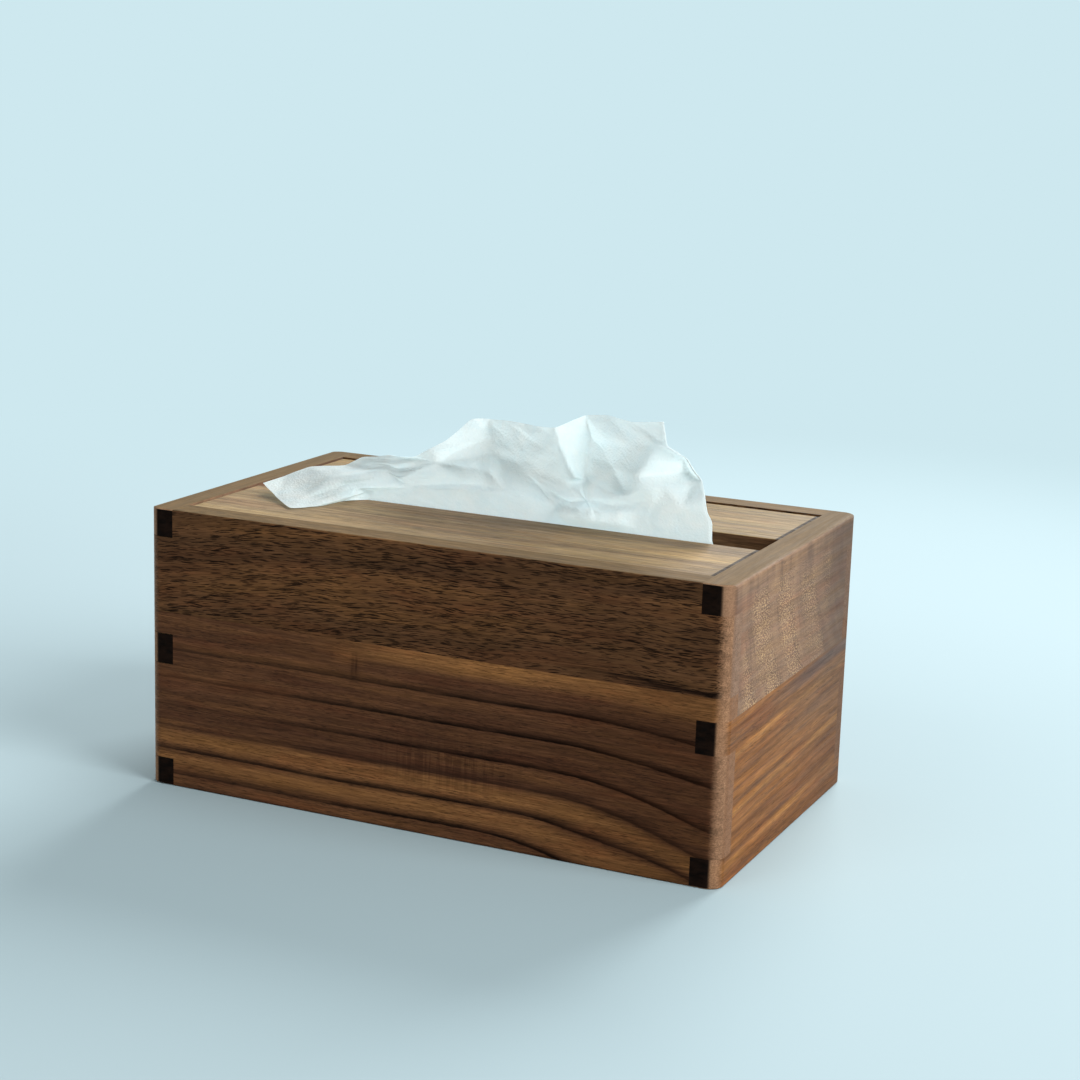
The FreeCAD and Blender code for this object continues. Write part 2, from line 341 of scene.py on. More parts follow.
# Edges of another tone: the axis that they face, their brown and how strongly it shows. The top boards' edges
# facing front and back carry painted shade, as dark as the rear board's edge seen down the slot.
WORN_RIM = ("Z", rgb(112, 91, 62), 0.9)
SLOT_EDGE_SHADE = ("Y", rgb(88, 57, 40), 0.85)


def satin(fin, line, colour, cut, edge_wear_and_shade):
    """A thin coat of oil: rubbed in streaks, and duller on cut ends, on edges of another tone (wear on the
    walls' top edges, painted shade on the top boards' slot edges) and on very dark wood.
    """
    rubbed = fin.noise(fin.scaled(line, (0.02, 0.6, 0.6)), detail=2.0)
    gloss = fin.level(rubbed, 0.3, 0.7, 0.40, 0.52)
    dull = fin.math("MAXIMUM", fin.math("MULTIPLY", cut, 0.12), fin.math("MULTIPLY", edge_wear_and_shade, 0.22))
    dark = fin.level(colour, DARK_LEVEL, DARK_LEVEL / 4, 0.0, 0.45)
    fin.rough(fin.math("ADD", gloss, fin.math("MAXIMUM", dull, dark)))


def walnut(name, along, across, seed, figure, pores, ends,
           depth=0.16, rise=1.6, tilt=0.0, shine=0.06, edge=WORN_RIM):
    """An oiled walnut board: its own figure, then fibres, pores, end grain and a satin surface."""
    fin = Finish(name, Specular_IOR_Level=shine)
    point = grain_point(fin, along, across, seed)
    line = bent(fin, point, seed, rise, tilt)
    edge_axis, edge_brown, edge_strength = edge
    edge_wear_and_shade = fin.math("MULTIPLY", facing_share(fin, edge_axis), edge_strength)
    turned = round_highlight_share(fin, along)
    cut = end_grain_share(fin, along)
    colour = warmth(fin, line, figure(fin, point, line))
    # On the top boards this paints shade on the edges facing front and back, such as the rear board's edge
    # seen down the slot.
    colour = fin.mix(edge_wear_and_shade, colour, edge_brown)
    # Painted highlight: the rounded corners are painted paler towards the board's ends.
    colour = fin.mix(turned, colour, ROUND_HIGHLIGHT)
    colour = fibres(fin, line, colour, depth)
    face = fin.math("SUBTRACT", 1.0, fin.math("MAXIMUM", turned, edge_wear_and_shade))
    marks = fin.math("MULTIPLY", all_pores(fin, line, pores, seed), face)
    colour = fin.mix(marks, colour, PORE_BROWN)
    colour = fin.mix(cut, colour, end_grain(fin, point, ends))
    fin.colour(colour)
    satin(fin, line, colour, cut, edge_wear_and_shade)
    relief = fin.noise(fin.scaled(line, (0.05, 3.5, 3.5)), detail=2.0)
    fin.normal(fin.bump(fin.math("MULTIPLY_ADD", marks, -1.2, relief), GRAIN_RELIEF))
    return fin.material


def streaked(dark, middle, light):
    """A figure of broad soft streaks between three browns."""
    def figure(fin, point, line):
        streak = fin.noise(fin.scaled(line, (0.006, 0.10, 0.10)), detail=3.0, rough=0.55)
        return fin.ramp(streak, ((0.32, dark), (0.50, middle), (0.68, light)))
    return figure


# Dark growth lines: millimetres below the top, strength, and the share of it that shows at the left end.
GRAIN_LINES = ((50.0, 0.80, 0.55), (60.0, 0.95, 0.40), (70.0, 0.90, 0.35), (78.0, 0.40, 0.50),
               (86.5, 0.80, 0.90), (95.2, 0.90, 0.50))
# Golden bands: top and bottom in millimetres below the top, strength, and its share at the left end.
GOLD_BANDS = ((33.0, 41.5, 0.95, 0.05), (79.5, 84.0, 0.85, 0.9), (88.0, 92.5, 0.75, 0.9))
BEND_SPAN = 60.0
KNOT_RUN = 83.0
KNOT_DEPTH = 46.0
BAND_GOLD = rgb(168, 118, 72)
GROWTH_SHADE = rgb(52, 30, 20)
GROWTH_CORE = rgb(9, 5, 3)
RIPPLE_BROWN = rgb(60, 34, 24)
KNOT_GLOW = rgb(160, 108, 66)


def bend_of(fin, run, depth):
    """How far a growth line has dropped at run millimetres from the left end, by its depth at that end."""
    start = fin.level(depth, 76.0, 96.0, 155.0, 128.0)
    reach = fin.level(depth, 50.0, 80.0, 4.0, 16.5)
    past = fin.math("MAXIMUM", fin.math("DIVIDE", fin.math("SUBTRACT", run, start), BEND_SPAN), 0.0)
    return fin.math("MULTIPLY", reach, fin.math("MULTIPLY", past, past))


def wavy_depth(fin, point, line):
    """Millimetres from the left end, and how far below the top the grain line through here lies there."""
    run = fin.math("SUBTRACT", fin.split(point)[0], CASE_LEFT)
    below = fin.math("SUBTRACT", CASE_TOP, fin.split(line)[1])
    depth = fin.math("SUBTRACT", below, bend_of(fin, run, below))
    for step in range(3):
        depth = fin.math("SUBTRACT", below, bend_of(fin, run, depth))
    return run, depth


def hill(fin, value, centre, reach):
    """1 at the centre, falling smoothly to 0 at reach to either side."""
    off = fin.math("ABSOLUTE", fin.math("SUBTRACT", value, centre))
    return fin.level(off, 0.0, reach, 1.0, 0.0)


def gold_bands(fin, run, depth, colour):
    """Golden bands between the growth lines."""
    for top, bottom, share, left in GOLD_BANDS:
        rise = fin.level(depth, top - 2.0, top + 1.5)
        fall = fin.level(depth, bottom - 2.0, bottom + 3.0, 1.0, 0.0)
        band = fin.math("MULTIPLY", fin.math("MULTIPLY", rise, fall), share)
        shown = fin.math("MULTIPLY", band, fin.level(run, 55.0, 115.0, left, 1.0))
        colour = fin.mix(shown, colour, BAND_GOLD)
    return colour


def growth_lines(fin, line, run, depth, colour):
    """Ragged dark lines, each shaded above and cut off sharply below."""
    ragged = fin.noise(fin.scaled(line, (0.25, 0.9, 0.5)), detail=3.0, rough=0.6)
    for place, share, left in GRAIN_LINES:
        off = fin.math("ADD", depth, fin.math("MULTIPLY_ADD", ragged, 0.7, -0.35))
        near = fin.level(off, place - 3.6, place, 0.0, 1.0)
        past = fin.level(off, place, place + 0.6, 1.0, 0.0)
        mark = fin.math("MULTIPLY", near, past)
        fade = fin.noise(fin.join(fin.math("MULTIPLY", run, 0.05), place, 0.0), detail=2.0)
        strength = fin.level(fade, 0.30, 0.60, 0.65 * share, share)
        strength = fin.math("ADD", strength, fin.level(run, 110.0, 190.0, 0.0, 0.15))
        strength = fin.math("MULTIPLY", strength, fin.level(run, 35.0, 110.0, left, 1.0))
        shade = fin.math("MULTIPLY", fin.math("POWER", mark, 2.2), strength)
        colour = fin.mix(fin.math("MULTIPLY", shade, 0.70), colour, GROWTH_SHADE)
        core = fin.math("MULTIPLY", fin.math("POWER", mark, 4.5), strength)
        colour = fin.mix(core, colour, GROWTH_CORE)
    return colour


def knot(fin, run, depth, ripple, colour):
    """A small dark knot with a golden patch beside it."""
    beside = fin.math("MULTIPLY", hill(fin, run, KNOT_RUN - 3.0, 9.0),
                      hill(fin, depth, KNOT_DEPTH - 4.0, 5.0))
    colour = fin.mix(fin.math("MULTIPLY", beside, 0.6), colour, KNOT_GLOW)
    within = fin.math("MULTIPLY", hill(fin, run, KNOT_RUN, 2.8), hill(fin, depth, KNOT_DEPTH, 7.5))
    uneven = fin.math("MULTIPLY", within, fin.level(ripple, 0.42, 0.58, 0.35, 0.85))
    return fin.mix(uneven, colour, GROWTH_SHADE)


def wavy_figure(fin, point, line):
    """Long dark growth lines that run level and then fall away to the right, with golden bands."""
    run, depth = wavy_depth(fin, point, line)
    flow = fin.join(fin.math("MULTIPLY", run, 0.006), fin.math("MULTIPLY", depth, 0.16), 0.0)
    streak = fin.noise(flow, detail=4.0, rough=0.6)
    colour = fin.ramp(streak, ((0.32, rgb(86, 56, 40)), (0.50, rgb(107, 72, 50)), (0.68, rgb(127, 87, 57))))
    colour = gold_bands(fin, run, depth, colour)
    colour = growth_lines(fin, line, run, depth, colour)
    ripple = fin.noise(fin.scaled(point, (0.85, 0.05, 0.05)), detail=2.0)
    where = fin.math("MULTIPLY", hill(fin, run, 118.0, 42.0), hill(fin, depth, 74.0, 14.0))
    cross = fin.level(ripple, 0.42, 0.58, 0.0, 0.48)
    colour = fin.mix(fin.math("MULTIPLY", cross, where), colour, RIPPLE_BROWN)
    colour = fin.mix(fin.level(run, 130.0, 205.0, 0.0, 0.42), colour, rgb(66, 38, 22))
    return knot(fin, run, depth, ripple, colour)


def end_place(fin, line):
    """Millimetres back from the front of the case, and down from its top."""
    along, across, deep = fin.split(line)[:]
    return fin.math("SUBTRACT", along, CASE_FRONT), fin.math("SUBTRACT", CASE_TOP, across)


STRIPE_BROWN = rgb(84, 56, 38)
STRIPE_GOLD = rgb(188, 136, 76)
# Stripes on the lower end boards: millimetres below the top, half width, strength and colour.
END_STRIPES = (
    (52.6, 0.9, 0.55, STRIPE_BROWN), (57.8, 1.8, 0.55, STRIPE_GOLD), (60.6, 0.9, 0.50, STRIPE_BROWN),
    (63.6, 0.8, 0.40, STRIPE_BROWN), (69.0, 0.8, 0.30, STRIPE_BROWN), (74.4, 1.3, 0.60, STRIPE_BROWN),
    (77.2, 1.9, 0.70, STRIPE_GOLD), (81.5, 1.2, 0.50, STRIPE_BROWN), (84.6, 0.8, 0.40, STRIPE_BROWN),
    (90.8, 1.2, 0.55, STRIPE_BROWN), (93.5, 2.0, 0.40, STRIPE_GOLD), (98.6, 1.8, 0.50, STRIPE_BROWN),
)
STRIPE_CLIMB = 0.0375


def striped_figure(fin, point, line):
    """Fine gold and brown stripes that climb a little, with a grey-brown band under the seam."""
    run, below = end_place(fin, line)
    depth = fin.math("MULTIPLY_ADD", run, STRIPE_CLIMB, below)
    flow = fin.join(fin.math("MULTIPLY", run, 0.006), fin.math("MULTIPLY", depth, 0.30), 0.0)
    stripe = fin.noise(flow, detail=4.0, rough=0.6)
    colour = fin.ramp(stripe, ((0.33, rgb(118, 76, 44)), (0.50, rgb(138, 91, 51)),
                               (0.67, rgb(152, 103, 58))))
    for place, half, share, tone in END_STRIPES:
        fade = fin.noise(fin.join(fin.math("MULTIPLY", run, 0.03), place, 0.0), detail=2.0)
        strength = fin.level(fade, 0.35, 0.60, 0.35 * share, share)
        colour = fin.mix(fin.math("MULTIPLY", hill(fin, depth, place, half), strength), colour, tone)
    # Darker and redder towards the rear of the end: partly the board's tone, partly painted shade where the
    # light falls off.
    colour = fin.mix(fin.level(run, 55.0, 125.0, 0.0, 0.48), colour, rgb(84, 60, 44))
    grey = fin.math("MULTIPLY", fin.level(run, 20.0, 100.0), fin.level(depth, 86.0, 62.0))
    colour = fin.mix(fin.math("MULTIPLY", grey, 0.55), colour, rgb(120, 94, 72))
    band = fin.math("MULTIPLY", fin.level(depth, 48.0, 50.0), fin.level(depth, 55.0, 51.5))
    strength = fin.level(run, 25.0, 95.0, 0.10, 0.80)
    return fin.mix(fin.math("MULTIPLY", band, strength), colour, rgb(92, 76, 68))


FLECK_PITCH = 24.0
FLECK_PLACE = 50.0
FLECK_LEAN = 0.0093


def speckled_figure(fin, point, line):
    """Tan brown with leaning columns of fine golden flecks and soft darker smears between them."""
    run, below = end_place(fin, line)
    lean = fin.math("MULTIPLY", fin.math("MULTIPLY", below, below), FLECK_LEAN)
    column = fin.math("SUBTRACT", run, lean)
    smear = fin.noise(fin.join(fin.math("MULTIPLY", column, 0.14), fin.math("MULTIPLY", below, 0.03), 0.0),
                      detail=3.0, rough=0.55)
    colour = fin.ramp(smear, ((0.34, rgb(120, 95, 78)), (0.50, rgb(141, 112, 90)),
                              (0.66, rgb(152, 122, 97))))
    wave = fin.noise(fin.scaled(point, (0.30, 0.30, 0.30)), detail=2.0)
    wavy = fin.join(fin.math("MULTIPLY", run, 1.10),
                    fin.math("MULTIPLY_ADD", below, 2.2, fin.math("MULTIPLY", wave, 5.0)), 0.0)
    fleck = fin.noise(wavy, detail=1.0, rough=0.4)
    off = fin.math("PINGPONG", fin.math("SUBTRACT", column, FLECK_PLACE), FLECK_PITCH / 2)
    patch = fin.noise(fin.scaled(point, (0.06, 0.08, 0.02)), detail=2.0)
    share = fin.math("MULTIPLY", fin.level(off, 4.0, 11.0, 1.0, 0.22),
                     fin.level(patch, 0.30, 0.55, 0.35, 1.0))
    inside = fin.math("MULTIPLY", fin.level(run, 10.0, 18.0), fin.level(run, 106.0, 94.0))
    share = fin.math("MULTIPLY", share, fin.math("MULTIPLY", inside, fin.level(below, 3.0, 12.0)))
    light = fin.math("MULTIPLY", fin.level(fleck, 0.51, 0.60), share)
    dark = fin.math("MULTIPLY", fin.level(fleck, 0.46, 0.38), share)
    colour = fin.mix(fin.math("MULTIPLY", dark, 0.45), colour, rgb(96, 70, 56))
    colour = fin.mix(fin.math("MULTIPLY", light, 0.75), colour, rgb(204, 170, 128))
    # Darker towards the rear of the end: partly the wood's smears, partly painted shade where the light falls
    # off.
    shade = fin.level(run, 55.0, 122.0, 0.0, 0.75)
    return fin.mix(shade, colour, rgb(88, 70, 58))


# The two tones of cut ends. The dark ends are the end grain itself; the upper and lower ends, seen on the
# bright end faces, are lit copies of the same end grain, painted paler with light and sheen.
DARK_ENDS = (rgb(14, 9, 7), rgb(34, 22, 16))
UPPER_ENDS_PAINTED_LIT = (rgb(140, 112, 92), rgb(156, 126, 104))
LOWER_ENDS_PAINTED_LIT = (rgb(138, 102, 76), rgb(154, 116, 88))


def top_figure(fin, point, line):
    """Tan streaks, with the shadow of the narrow gap beside the right wall."""
    colour = streaked(rgb(100, 79, 54), rgb(134, 109, 77), rgb(160, 132, 91))(fin, point, line)
    place = fin.split(point)[0]
    colour = fin.mix(fin.level(place, -75.0, -20.0, 0.40, 0.0), colour, rgb(178, 152, 114))
    colour = fin.mix(fin.math("MULTIPLY", hill(fin, place, 5.0, 55.0), 0.35), colour, rgb(92, 73, 56))
    colour = fin.mix(fin.level(fin.split(point)[1], 0.0, 5.0, 0.0, 0.35), colour, rgb(152, 126, 76))
    gap = fin.level(place, TOP_RIGHT - 2.0, TOP_RIGHT - 1.5)
    return fin.mix(fin.math("MULTIPLY", gap, 0.90), colour, rgb(34, 16, 6))


def porous_figure(fin, point, line):
    """Brown streaks, with dark ones that gather over the seam towards the right end."""
    colour = streaked(rgb(93, 65, 44), rgb(113, 79, 52), rgb(131, 91, 57))(fin, point, line)
    run = fin.math("SUBTRACT", fin.split(point)[0], CASE_LEFT)
    below = fin.math("SUBTRACT", CASE_TOP, fin.split(point)[1])
    fall = fin.math("MULTIPLY_ADD", fin.level_line(run, 140.0, 216.0), 4.5, 31.5)
    off = fin.math("SUBTRACT", below, fall)
    split = fin.noise(fin.scaled(point, (0.03, 0.9, 0.5)), detail=2.0, rough=0.6)
    where = fin.math("MULTIPLY", hill(fin, off, 0.0, 3.0), fin.level(run, 145.0, 190.0))
    share = fin.math("MULTIPLY", where, fin.level(split, 0.40, 0.56, 0.15, 0.9))
    return fin.mix(share, colour, rgb(34, 18, 12))


# Layers of pores: length and width in millimetres, how closely they lie and how dark they are.
POROUS_PORES = ((7.5, 0.48, 0.25, 0.9), (5.5, 0.37, 0.24, 0.9), (26.0, 0.90, 0.12, 0.9))
WAVY_PORES = ((6.0, 0.42, 0.15, 0.6), (3.6, 0.34, 0.20, 0.4))
SPECKLED_PORES = ((5.0, 0.60, 0.06, 0.4),)
STRIPED_PORES = ((7.0, 0.50, 0.12, 0.5),)
TOP_PORES = ((9.0, 0.60, 0.14, 0.5),)


def dress_walnut():
    """One finish for each kind of board, the way the boards were cut and glued up."""
    return {
        "walnut_porous": walnut("walnut_porous", "X", "Z", 1, porous_figure, POROUS_PORES, UPPER_ENDS_PAINTED_LIT,
                                depth=0.20, tilt=10.0, rise=2.4),
        "walnut_wavy": walnut("walnut_wavy", "X", "Z", 2, wavy_figure, WAVY_PORES, LOWER_ENDS_PAINTED_LIT,
                              depth=0.20, rise=1.0),
        "walnut_speckled": walnut("walnut_speckled", "Y", "Z", 3, speckled_figure, SPECKLED_PORES, DARK_ENDS,
                                  depth=0.10),
        "walnut_striped": walnut("walnut_striped", "Y", "Z", 4, striped_figure, STRIPED_PORES, DARK_ENDS,
                                 rise=0.8),
        "walnut_top": walnut("walnut_top", "X", "Y", 5, top_figure, TOP_PORES, UPPER_ENDS_PAINTED_LIT,
                             depth=0.22, rise=0.8, shine=0.07, edge=SLOT_EDGE_SHADE),
    }


def inner_wood():
    """The hidden boards: paler, straight-grained wood left matt."""
    pale = streaked(rgb(166, 132, 94), rgb(182, 148, 108), rgb(196, 164, 124))
    return walnut("inner_wood", "X", "Y", 6, pale, ((6.0, 0.50, 0.14, 0.35),),
                  (rgb(136, 104, 74), rgb(160, 126, 92)), depth=0.08, edge=("Z", rgb(176, 142, 104), 0.3))


def dowel_wood():
    """Turned beech pins."""
    pale = streaked(rgb(186, 150, 112), rgb(200, 166, 126), rgb(212, 180, 142))
    return walnut("dowel_wood", "X", "Y", 7, pale, ((2.5, 0.40, 0.14, 0.4),),
                  (rgb(160, 124, 90), rgb(184, 148, 112)), depth=0.06, edge=("Z", rgb(196, 162, 122), 0.3))


def magnet_metal():
    """Nickel-plated discs with fine scuffs."""
    fin = Finish("magnet_metal", Metallic=1.0)
    scuff = fin.noise(fin.scaled(fin.place(), (900.0, 900.0, 900.0)), detail=3.0)
    fin.colour(fin.ramp(scuff, ((0.3, rgb(176, 176, 172)), (0.7, rgb(206, 205, 200)))))
    fin.rough(fin.level(scuff, 0.3, 0.7, 0.18, 0.34))
    return fin.material


def dress_frame():
    """Give every CAD piece the finish of its slot in the record."""
    finishes = dress_walnut()
    finishes["inner_wood"] = inner_wood()
    finishes["dowel_wood"] = dowel_wood()
    finishes["magnet_metal"] = magnet_metal()
    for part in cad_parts.values():
        for slot in part.material_slots:
            wanted = slot.material.name.split(".")[0]
            if wanted in finishes:
                slot.material = finishes[wanted]


# ---------------------------------------------------------------- tissues

SHEET_WIDTH = 180.0
SHEET_HEIGHT = 140.0
SHOWN_HEIGHT = 60.0
SHEET_STEP = 0.9
BOARD_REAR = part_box("top_front_board")[1][1] / MM
BOARD_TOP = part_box("top_front_board")[1][2] / MM
BOARD_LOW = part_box("top_front_board")[0][2] / MM
STACK = [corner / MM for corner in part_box("tissue_stack")]
SHEET_GAP = 0.65
CLEARANCE = 0.5
REST_GAP = 0.6
TURN_RADIUS = 2.0
PLEAT_DEPTH = 4.2
PLEAT_START = 6.0
PLEAT_RATE = 0.55
PLEAT_DRIFT = 1.7
DRIFT_RATE = 0.13
CURL_OUT = 0.2
SLOT_STEPS = 18
HUG = BOARD_REAR + SHEET_GAP

# Points of the sheet: (pixel across, pixel down, millimetres back). The pixels were picked in the
# 1080 by 1080 photo. How far back a point lies is guessed.
SLOT_LEFT_END = (353, 498, HUG)
SLOT_RIGHT_END = (713, 543, HUG)
SLOT_LEFT = seen_at(*SLOT_LEFT_END)[0]
SLOT_RIGHT = seen_at(*SLOT_RIGHT_END)[0]
# Along an edge they run from corner to corner, and their gaps are scaled alike to the edge's flat length.
FREE_EDGE = (
    (263, 483, -21), (284, 477, -10), (310, 467, -2), (347, 465, 2), (362, 457, 2), (391, 455, -2),
    (414, 457, -6.5), (431, 448, -7.5), (447, 440, -4), (460, 429, 0), (471, 419, 5), (480, 418, 9),
    (489, 419, 12), (511, 421, 6), (536, 426, -1.5), (555, 428, -8), (585, 415, 6.5), (608, 415, 4),
    (632, 422, -2), (664, 422, -8),
)
LEFT_EDGE = (
    SLOT_LEFT_END, (341, 503, -20), (312, 507, -33), (290, 508, -40), (276, 497, -30), FREE_EDGE[0],
)
RIGHT_EDGE = (
    SLOT_RIGHT_END, (713, 522, -9), (708, 512, -9.5), (706, 497, -7.5), (702, 482, -4.5), (685, 459, -1),
    (669, 447, -8.5), FREE_EDGE[-1],
)

# Fold corners between the edges, each under its place on the flat sheet: (millimetres across it,
# millimetres above the slot). Those of the flap over the front board stand at (x, y, z) in millimetres.
FLAP = {
    (12, 40): (-67, -26, 102.5), (10, 22): (-56, -22, 101),
    (22, 42): (-62, -16, 107), (20, 24): (-53, -14, 104),
}

# The others stand at a picked point.
NECK = {
    (40, 40): (385, 470, -7), (45, 35): (400, 478, -9.5), (40, 20): (410, 487, -9),
    (20, 15): (372, 491, -9), (40, 10): (420, 496, -9), (50, 22): (425, 485, -8.5),
    (63, 22): (455, 485, -8.5), (76, 22): (480, 485, -8), (50, 19): (425, 489, -10.5),
    (63, 19): (455, 489, -11), (76, 19): (480, 489, -10.5), (88, 19): (505, 491, -9),
    (65, 10): (470, 498, -9), (90, 10): (520, 500, -9),
}
HUMP = {
    (65, 40): (436, 462, -8.5), (60, 27): (440, 476, -9), (72, 30): (463, 467, -9),
    (84, 29): (487, 470, -7), (90, 27): (500, 476, -5.5), (93, 50): (492, 436, 7.5),
    (93, 40): (496, 453, 3.5), (95, 33): (502, 467, -1.5),
}
VALLEY = {
    (102, 46): (512, 448, 2.5), (109, 39): (528, 462, -1), (117, 33): (547, 474, -5),
    (124, 28): (565, 484, -7.5), (100, 37): (514, 462, 1), (106, 31): (527, 474, -3),
    (113, 25): (543, 485, -6.5), (119, 18): (560, 496, -9), (127, 50): (558, 442, -8.5),
    (127, 41): (566, 460, -8.5), (128, 33): (575, 478, -9), (126, 22): (580, 492, -9),
}
WEDGE = {
    (141, 51): (591, 437, 5.5), (138, 42): (588, 455, 3), (134, 34): (585, 473, -1),
    (131, 28): (584, 480, -4.5), (130, 21): (583, 490, -6.5), (130, 15): (586, 501, -9),
    (135, 26): (590, 481, -7), (135, 18): (590, 498, -9), (148, 52): (598, 431, 3),
    (146, 47): (601, 447, 3.5), (149, 40): (611, 465, 0.5), (151, 31): (621, 485, -5),
    (150, 24): (626, 496, -9.5), (140, 31): (598, 478, -4.5), (142, 25): (605, 491, -8.5),
    (140, 18): (606, 499, -9.5),
}
RIGHT_SIDE = {
    (160, 48): (632, 445, -3), (157, 36): (627, 472, -6.5), (173, 46): (660, 448, -9),
    (166, 40): (648, 462, -10), (160, 33): (637, 476, -10.5), (157, 25): (636, 491, -11.5),
    (176, 45): (675, 452, -6), (173, 40): (684, 460, 0), (172, 34): (690, 472, 1),
    (172, 28): (691, 482, -3.5), (170, 24): (688, 492, -5), (162, 24): (650, 490, -11.5),
    (166, 25): (665, 487, -9), (168, 25): (680, 487, -6), (176, 22): (697, 492, -6),
    (161, 14): (655, 506, -9.5), (170, 13): (683, 508, -10), (160, 6): (655, 523, -9),
    (172, 6): (690, 528, -9), (152, 13): (641, 505, -9),
}
ROLL = {
    (104, 4): (553, 514, -9), (104, 9): (556, 506, -8.5), (108, 4): (560, 516, -13),
    (110, 9): (566, 507, -11.5), (114, 12): (573, 503, -9), (122, 12): (588, 502, -9),
    (136, 12): (611, 505, -9), (144, 12): (630, 508, -9), (117, 7): (578, 509, -14),
    (126, 7): (591, 511, -13.5), (134, 7): (604, 512, -12.5), (142, 7): (619, 513, -11.5),
    (117, 3): (578, 519, -14.5), (126, 3): (591, 521, -14), (134, 3): (604, 523, -13),
    (142, 3): (619, 524, -12), (149, 7): (636, 515, -9.5), (148, 3): (636, 525, -9),
}


def stand_clear(pick):
    """A picked point in millimetres, kept a little above the top boards."""
    x, y, z = seen_at(*pick)
    return x, y, max(z, BOARD_TOP + CLEARANCE)


def laid_flat(picks, length):
    """An edge's points in space, each with its place along the flat edge, which is length millimetres long."""
    points = [stand_clear(pick) for pick in picks]
    run = np.cumsum([0.0] + [math.dist(a, b) for a, b in zip(points, points[1:])])
    return zip(run / run[-1] * length, points)


def slot_row():
    """Where the sheet comes up behind the front top board, pulled together along the slot."""
    row = {}
    for step in range(SLOT_STEPS + 1):
        x = SLOT_LEFT + (SLOT_RIGHT - SLOT_LEFT) * step / SLOT_STEPS
        row[SHEET_WIDTH * step / SLOT_STEPS, 0] = (x, HUG, BOARD_TOP)
    return row


def fold_corners():
    """Every corner of the folds: its place on the flat sheet, and where it stands in millimetres."""
    corners = {}
    for above, point in laid_flat(LEFT_EDGE, SHOWN_HEIGHT):
        corners[0, above] = point
    for above, point in laid_flat(RIGHT_EDGE, SHOWN_HEIGHT):
        corners[SHEET_WIDTH, above] = point
    for across, point in laid_flat(FREE_EDGE, SHEET_WIDTH):
        corners[across, SHOWN_HEIGHT] = point
    for folds in (NECK, HUMP, VALLEY, WEDGE, RIGHT_SIDE, ROLL):
        for place, pick in folds.items():
            corners[place] = stand_clear(pick)
    corners.update(FLAP)
    corners.update(slot_row())
    return corners


def facets(corners, across, above):
    """Flat facets between corners, a dict from a place on the sheet to a point in space or a height."""
    values = np.array(list(corners.values()), float).reshape(len(corners), -1)
    found = geometry.delaunay_2d_cdt([Vector(key) for key in corners], [], [], 0, 0.001)
    flat = np.array([tuple(v) for v in found[0]])
    values = values[[group[0] for group in found[3]]]
    made = np.zeros(across.shape + values.shape[1:])
    for a, b, c in found[2]:
        (ax, ay), (bx, by), (cx, cy) = flat[a], flat[b], flat[c]
        whole = (bx - ax) * (cy - ay) - (cx - ax) * (by - ay)
        to_b = ((across - ax) * (cy - ay) - (cx - ax) * (above - ay)) / whole
        to_c = ((bx - ax) * (above - ay) - (across - ax) * (by - ay)) / whole
        inside = (to_b > -1e-6) & (to_c > -1e-6) & (to_b + to_c < 1 + 1e-6)
        to_b, to_c = to_b[inside][:, None], to_c[inside][:, None]
        made[inside] = (1 - to_b - to_c) * values[a] + to_b * values[b] + to_c * values[c]
    return made


def crumples(across, above, spacing, depth, seed, stretch=1.0):
    """Heights of small flat facets at random angles, as paper keeps from having been folded and pulled."""
    chance = np.random.default_rng(seed)
    corners = {}
    for u in np.arange(across.min() / stretch - spacing, across.max() / stretch + 2 * spacing, spacing):
        for v in np.arange(above.min() - spacing, above.max() + 2 * spacing, spacing * 0.8):
            place = (u + chance.uniform(-0.45, 0.45) * spacing, v + chance.uniform(-0.4, 0.4) * spacing)
            corners[place] = chance.normal(0.0, depth)
    return facets(corners, across / stretch, above)[..., 0]


def normals(place):
    """Unit vectors square to the sheet, all on the same side of it."""
    made = np.cross(np.gradient(place, axis=1), np.gradient(place, axis=0))
    return made / (np.linalg.norm(made, axis=-1, keepdims=True) + 1e-9)


def folded(across, above):
    """The sheet above the slot: the large folds, then crumples of two sizes."""
    place = facets(fold_corners(), across, above)
    height = sum(crumples(across, above, spacing, depth, seed) for spacing, depth, seed in CRUMPLES)
    free = np.clip(above / 5.0, 0, 1)
    return place + normals(soften(place.copy(), 12)) * (height * free)[..., None]


# Spacing, depth and seed of the crumples.
CRUMPLES = ((11.0, 0.30, 3), (5.0, 0.12, 5))


def soften(place, rounds):
    """Round the sharp folds a little, as paper does."""
    for step in range(rounds):
        around = (place[2:, 1:-1] + place[:-2, 1:-1] + place[1:-1, 2:] + place[1:-1, :-2]) / 4
        place[1:-1, 1:-1] = place[1:-1, 1:-1] / 2 + around / 2
        for edge in (place[0], place[-1], place[:, 0], place[:, -1]):
            edge[1:-1] = edge[1:-1] / 2 + (edge[2:] + edge[:-2]) / 4
    return place


